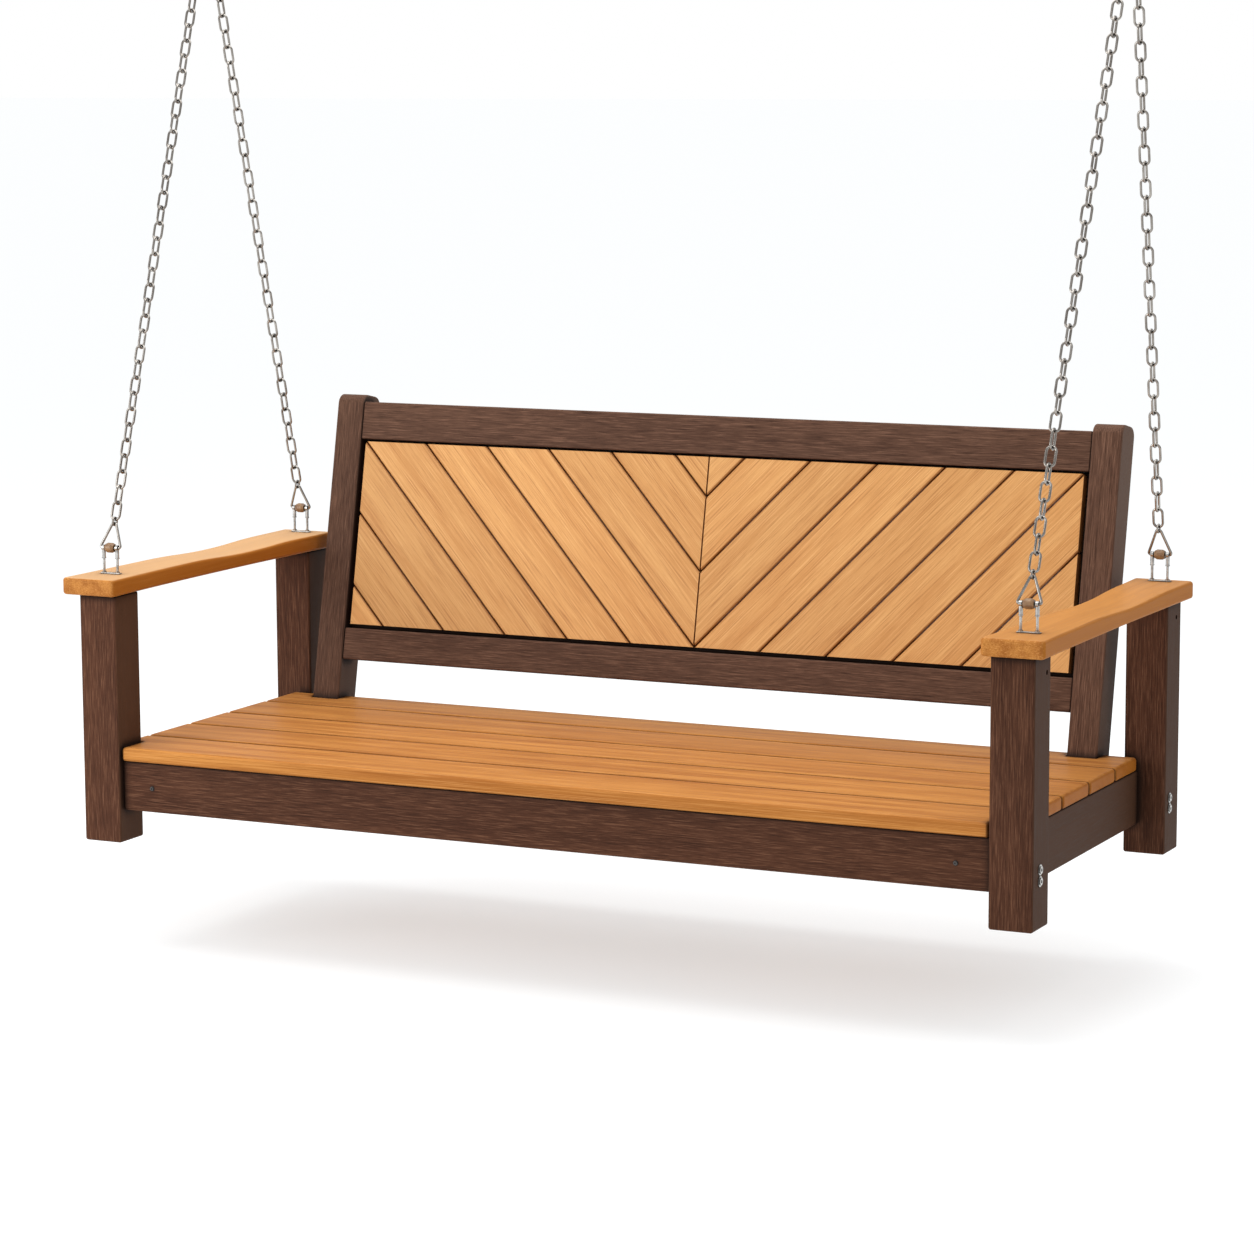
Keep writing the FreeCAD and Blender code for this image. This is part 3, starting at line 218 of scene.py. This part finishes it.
# Patterns: spans of the noise, and the shares and heights that the finer patterns add
SHIFTED_COLOURS = ("body", "deep", "streak_light", "streak_dark", "side")
TONE_SPAN = (0.35, 0.65)
LIGHT_STREAK_SPAN = (0.52, 0.66)
DARK_STREAK_SPAN = (0.47, 0.34)
FIBRE_SPAN = (0.40, 0.28)
FIBRE_SHARE = 0.35
FIBRE_HEIGHT = 0.35
# Painted highlight along the eased edges (painted shade on the panel), broken up by the streaks
EDGE_LIGHTING_SPAN = (0.30, 0.60)
EDGE_LIGHTING_SHARES = (0.15, 0.55)
SCRATCH_SPAN = (0.60, 0.75)
SCRATCH_SHARE = 0.4
SCRATCH_HEIGHT = 0.5
GLOSS_SPAN = (0.30, 0.70)
LUMBER_SCATTER = 5.0             # each piece takes its pattern from a random place, up to this far off
HARD_SCATTER = 1.0

# Finish of each node, by the first entry that its name starts with; lumber also has the grain's direction
LUMBER_FINISHES = (
    ("seat_slat", AMBER_LUMBER, ACROSS),
    ("arm_left", LEFT_ARM_LUMBER, DEEP),
    ("arm_right", RIGHT_ARM_LUMBER, DEEP),
    ("chevron_left", PANEL_LUMBER, FALLING),
    ("chevron_right", PANEL_LUMBER, RISING),
    ("front_post", DARK_LUMBER, UP),
    ("rear_post", DARK_LUMBER, UP),
    ("back_stile", SHEEN_LIT_BACK_LUMBER, UP_THE_BACK),
    ("back_", SHEEN_LIT_BACK_LUMBER, ACROSS),
    ("side_apron", DARK_LUMBER, DEEP),
    ("centre_joist", DARK_LUMBER, DEEP),
    ("front_apron", DARK_LUMBER, ACROSS),
    ("rear_apron", DARK_LUMBER, ACROSS),
    ("corner_blocks", DARK_LUMBER, UP),
)
HARD_FINISHES = (
    ("chain_", CHAIN_STEEL),
    ("delta_links", CHAIN_STEEL),
    ("shackles", CHAIN_STEEL),
    ("top_rings", CHAIN_STEEL),
    ("pivot_eyes", CHAIN_STEEL),
    ("hanger_", BOLT_STEEL),
    ("cross_dowels", BOLT_STEEL),
    ("post_bolts", BOLT_STEEL),
    ("barrel_nuts", BOLT_STEEL),
    ("frame_screws", BRACKET_STEEL),
    ("ceiling_brackets", BRACKET_STEEL),
    ("pivot_pins", BRACKET_STEEL),
    ("roller_", ROLLER_PLASTIC),
)

# Places of the colour sockets of a Mix node, whose sockets for numbers, vectors and colours share names
MIX_COLOUR_A = 6
MIX_COLOUR_B = 7
MIX_COLOUR_RESULT = 2


def linked_or_set(tree, socket, value):
    """Links another node's output to a socket, or sets the socket's own value."""
    if isinstance(value, bpy.types.NodeSocket):
        tree.links.new(value, socket)
    else:
        socket.default_value = value


def shader_node(tree, kind, sockets=None, **settings):
    """Adds a node; a socket's value is a number, a colour or another node's output."""
    made = tree.nodes.new("ShaderNode" + kind)
    for name, value in settings.items():
        setattr(made, name, value)
    for name, value in (sockets or {}).items():
        linked_or_set(tree, made.inputs[name], value)
    return made


def opaque(colour):
    return (*colour, 1.0)


def shifted(colour, amount):
    """The same colour, lighter or darker by a share."""
    return tuple(channel * (1.0 + amount) for channel in colour)


def grain_space(tree, along, sizes, offset):
    """Coordinates measured in pattern lengths, with X along the grain."""
    place = shader_node(tree, "TexCoord").outputs["Object"]
    turn = along.to_track_quat("X", "Z").to_euler()
    mapping = shader_node(tree, "Mapping", {"Vector": place}, vector_type="TEXTURE")
    mapping.inputs["Location"].default_value = offset
    mapping.inputs["Rotation"].default_value = turn
    mapping.inputs["Scale"].default_value = (sizes[0], sizes[1], sizes[-1])
    return mapping.outputs["Vector"]


def noise(tree, space, detail, distortion=0.0, roughness=0.5):
    sockets = {
        "Vector": space,
        "Scale": 1.0,
        "Detail": detail,
        "Distortion": distortion,
        "Roughness": roughness,
    }
    return shader_node(tree, "TexNoise", sockets).outputs["Fac"]


def between(tree, value, span, result=(0.0, 1.0)):
    """Runs a value from one span to another, held inside it."""
    sockets = {
        "Value": value,
        "From Min": span[0],
        "From Max": span[1],
        "To Min": result[0],
        "To Max": result[1],
    }
    return shader_node(tree, "MapRange", sockets).outputs["Result"]


def mixed(tree, share, colour_a, colour_b):
    """One colour, itself an output or fixed, with a share of another fixed colour laid over it."""
    made = shader_node(tree, "Mix", {"Factor": share}, data_type="RGBA")
    under = colour_a if isinstance(colour_a, bpy.types.NodeSocket) else opaque(colour_a)
    linked_or_set(tree, made.inputs[MIX_COLOUR_A], under)
    linked_or_set(tree, made.inputs[MIX_COLOUR_B], opaque(colour_b))
    return made.outputs[MIX_COLOUR_RESULT]


def arithmetic(tree, operation, a, b):
    made = shader_node(tree, "Math", operation=operation)
    linked_or_set(tree, made.inputs[0], a)
    linked_or_set(tree, made.inputs[1], b)
    return made.outputs["Value"]


def facing_masks(tree):
    """1 on the faces that look along the bench and 0 on the others; and the same for tops."""
    flat_normal = shader_node(tree, "NewGeometry").outputs["Normal"]
    parts = shader_node(tree, "SeparateXYZ", {"Vector": flat_normal}).outputs
    side = between(tree, arithmetic(tree, "ABSOLUTE", parts["X"], 0.0), SIDE_SPAN)
    return side, between(tree, parts["Z"], TOP_SPAN)


def edge_mask(tree):
    """1 along the eased edges and 0 on the flats."""
    round_normal = shader_node(tree, "Bevel", {"Radius": EDGE_WIDTH}, samples=EDGE_SAMPLES).outputs["Normal"]
    flat_normal = shader_node(tree, "NewGeometry").outputs["Normal"]
    product = shader_node(tree, "VectorMath", operation="DOT_PRODUCT")
    tree.links.new(round_normal, product.inputs[0])
    tree.links.new(flat_normal, product.inputs[1])
    return between(tree, product.outputs["Value"], EDGE_SPAN)


def painted_shade_mask(tree, reach, span):
    """The share of painted shade: strong down in the gaps and at the contacts, 0 on the open faces."""
    occlusion = shader_node(tree, "AmbientOcclusion", {"Distance": reach}, samples=GAP_SAMPLES)
    return between(tree, occlusion.outputs["AO"], span, (0.0, GAP_SHADE_SHARE))


def new_tree(name):
    material = bpy.data.materials.new(name)
    material.use_nodes = True
    material.node_tree.nodes.clear()
    return material, material.node_tree


def finish_tree(tree, colour, roughness, height, relief, fixed):
    """The shader itself, with the values that are the same all over set on its own sockets."""
    bump = shader_node(tree, "Bump", {"Height": height, "Distance": relief, "Strength": 1.0})
    sockets = {"Base Color": colour, "Roughness": roughness, "Normal": bump.outputs["Normal"], **fixed}
    surface = shader_node(tree, "BsdfPrincipled", sockets)
    shader_node(tree, "OutputMaterial", {"Surface": surface.outputs["BSDF"]})


def lumber(name, look, along):
    """Poly lumber with a pressed wood grain: short streaks, fine fibres and broad tone, with painted shade
    on the sides (end grain where the grain runs across), a painted sheen on the tops, painted highlights on
    the edges and painted shade in the gaps.
    """
    chance = random.Random(name)
    offset = [chance.uniform(-LUMBER_SCATTER, LUMBER_SCATTER) for axis in range(3)]
    shift = chance.uniform(-look["spread"], look["spread"]) + TONE_SHIFTS.get(name, 0.0)
    shades = {key: shifted(look[key], shift) for key in SHIFTED_COLOURS}
    material, tree = new_tree(name)

    tone = noise(tree, grain_space(tree, along, look["tone_size"], offset), detail=2.0)
    streak_space = grain_space(tree, along, look["streak_size"], offset)
    streaks = noise(tree, streak_space, detail=5.0, distortion=0.3, roughness=0.62)
    fibres = noise(tree, grain_space(tree, along, look["fibre_size"], offset), detail=2.0)
    side, top = facing_masks(tree)

    # The grain
    light = between(tree, streaks, LIGHT_STREAK_SPAN, (0.0, look["light_share"]))
    dark = between(tree, streaks, DARK_STREAK_SPAN, (0.0, look["dark_share"]))
    fine = between(tree, fibres, FIBRE_SPAN, (0.0, FIBRE_SHARE))
    colour = mixed(tree, between(tree, tone, TONE_SPAN), shades["deep"], shades["body"])
    colour = mixed(tree, light, colour, shades["streak_light"])
    colour = mixed(tree, dark, colour, shades["streak_dark"])
    colour = mixed(tree, fine, colour, shades["streak_dark"])

    # Sides in the side colour with fewer streaks: painted shade, and end grain where the grain runs across.
    # Painted sheen on the tops, painted highlights along the eased edges (painted shade on the panel), and
    # painted shade in the gaps
    edge_lighting_share = arithmetic(tree, "MULTIPLY", edge_mask(tree), between(tree, streaks, EDGE_LIGHTING_SPAN, EDGE_LIGHTING_SHARES))
    colour = mixed(tree, arithmetic(tree, "MULTIPLY", side, look["side_share"]), colour, shades["side"])
    colour = mixed(tree, arithmetic(tree, "MULTIPLY", top, look["top_share"]), colour, look["top"])
    colour = mixed(tree, edge_lighting_share, colour, look["edge"])
    colour = mixed(tree, painted_shade_mask(tree, GAP_REACH, look["gap_span"]), colour, look["gap"])

    roughness = between(tree, streaks, GLOSS_SPAN, look["gloss"])
    height = arithmetic(tree, "ADD", streaks, arithmetic(tree, "MULTIPLY", fibres, FIBRE_HEIGHT))
    finish_tree(tree, colour, roughness, height, look["relief"], {"Specular IOR Level": look["specular"]})
    return material


def hard_part(name, look):
    """Plated or painted steel, or moulded plastic: clouded patches, fine scratches and painted shade where
    parts touch.
    """
    chance = random.Random(name)
    offset = [chance.uniform(-HARD_SCATTER, HARD_SCATTER) for axis in range(3)]
    material, tree = new_tree(name)
    patch_space = grain_space(tree, UP, (look["patch_size"], look["patch_size"]), offset)
    patches = noise(tree, patch_space, detail=4.0)
    scratch_space = grain_space(tree, UP, (look["patch_size"], look["scratch_size"]), offset)
    scratches = noise(tree, scratch_space, detail=3.0)

    scratched = between(tree, scratches, SCRATCH_SPAN, (0.0, SCRATCH_SHARE))
    # Painted shade where another part is close
    contact_shade = painted_shade_mask(tree, CONTACT_REACH, CONTACT_SPAN)
    colour = mixed(tree, between(tree, patches, TONE_SPAN), look["dark"], look["light"])
    colour = mixed(tree, scratched, colour, look["dark"])
    colour = mixed(tree, contact_shade, colour, shifted(look["dark"], CONTACT_SHADE_SHIFT))

    roughness = between(tree, patches, GLOSS_SPAN, look["gloss"])
    height = arithmetic(tree, "ADD", patches, arithmetic(tree, "MULTIPLY", scratches, SCRATCH_HEIGHT))
    finish_tree(tree, colour, roughness, height, look["relief"], {"Metallic": look["metallic"]})
    return material


def finished_nodes(finishes):
    """Every node that a list of finishes covers, with the rest of the first entry that fits its name."""
    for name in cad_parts:
        fitting = [entry for entry in finishes if name.startswith(entry[0])]
        if fitting:
            yield name, *fitting[0][1:]


def dress(node_name, material):
    """Puts a material in every slot of a CAD node."""
    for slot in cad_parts[node_name].material_slots:
        slot.material = material


def make_camera(foot):
    """The camera of the reference picture, placed from the foot of the right front post."""
    data = bpy.data.cameras.new("camera")
    data.lens = CAMERA_LENS
    data.sensor_width = CAMERA_SENSOR
    data.clip_end = CAMERA_REACH
    camera = bpy.data.objects.new("camera", data)
    bpy.context.collection.objects.link(camera)
    place = Matrix.Translation(foot + CAMERA_FROM_FOOT)
    aim = Matrix.Rotation(CAMERA_YAW, 4, "Z") @ Matrix.Rotation(math.pi / 2 + CAMERA_PITCH, 4, "X")
    camera.matrix_world = place @ aim @ Matrix.Rotation(CAMERA_ROLL, 4, "Z")
    bpy.context.scene.camera = camera


def make_floor(height):
    half = FLOOR_SIDE / 2
    corners = [(-half, -half, height), (half, -half, height), (half, half, height), (-half, half, height)]
    mesh = bpy.data.meshes.new("floor")
    mesh.from_pydata(corners, [], [(0, 1, 2, 3)])
    floor = bpy.data.objects.new("floor", mesh)
    bpy.context.collection.objects.link(floor)
    material, tree = new_tree("floor")
    paint = shader_node(tree, "BsdfDiffuse", {"Color": opaque(FLOOR_COLOUR)}).outputs["BSDF"]
    glow = shader_node(tree, "Emission", {"Strength": FLOOR_GLOW}).outputs["Emission"]
    both = shader_node(tree, "AddShader")
    tree.links.new(paint, both.inputs[0])
    tree.links.new(glow, both.inputs[1])
    shader_node(tree, "OutputMaterial", {"Surface": both.outputs["Shader"]})
    mesh.materials.append(material)


def make_world():
    """A white horizon, grey walls and a white ceiling, so that the metal has something to mirror."""
    world = bpy.data.worlds.new("studio")
    world.use_nodes = True
    tree = world.node_tree
    tree.nodes.clear()
    direction = shader_node(tree, "TexCoord").outputs["Generated"]
    height = shader_node(tree, "SeparateXYZ", {"Vector": direction}).outputs["Z"]
    bands = shader_node(tree, "ValToRGB", {"Fac": height})
    steps = bands.color_ramp.elements
    while len(steps) < len(WORLD_BANDS):
        steps.new(1.0)
    for step, (place, brightness) in zip(steps, WORLD_BANDS):
        step.position = place
        step.color = (brightness, brightness, brightness, 1.0)
    background = shader_node(tree, "Background", {"Color": bands.outputs["Color"]})
    shader_node(tree, "OutputWorld", {"Surface": background.outputs["Background"]})
    bpy.context.scene.world = world


def make_light(name, power, side, place, target):
    data = bpy.data.lights.new(name, "AREA")
    data.energy = power
    data.shape = "SQUARE"
    data.size = side
    light = bpy.data.objects.new(name, data)
    light.location = place
    light.rotation_euler = (target - place).to_track_quat("-Z", "Y").to_euler()
    bpy.context.collection.objects.link(light)


post_low, post_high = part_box("front_post_right")
foot = Vector((post_high[0], post_low[1], post_low[2]))
bench_middle = Vector((0.0, 0.0, post_low[2]))

make_camera(foot)
make_world()
make_floor(post_low[2] - FLOOR_DROP)
make_light("key", KEY_POWER, KEY_SIDE, bench_middle + KEY_FROM_BENCH, bench_middle)
make_light("fill", FILL_POWER, FILL_SIDE, bench_middle + FILL_FROM_BENCH, bench_middle)
bpy.context.scene.view_settings.view_transform = "Standard"

for node_name, look, along in finished_nodes(LUMBER_FINISHES):
    dress(node_name, lumber(node_name, look, along))
for node_name, look in finished_nodes(HARD_FINISHES):
    dress(node_name, hard_part(node_name, look))
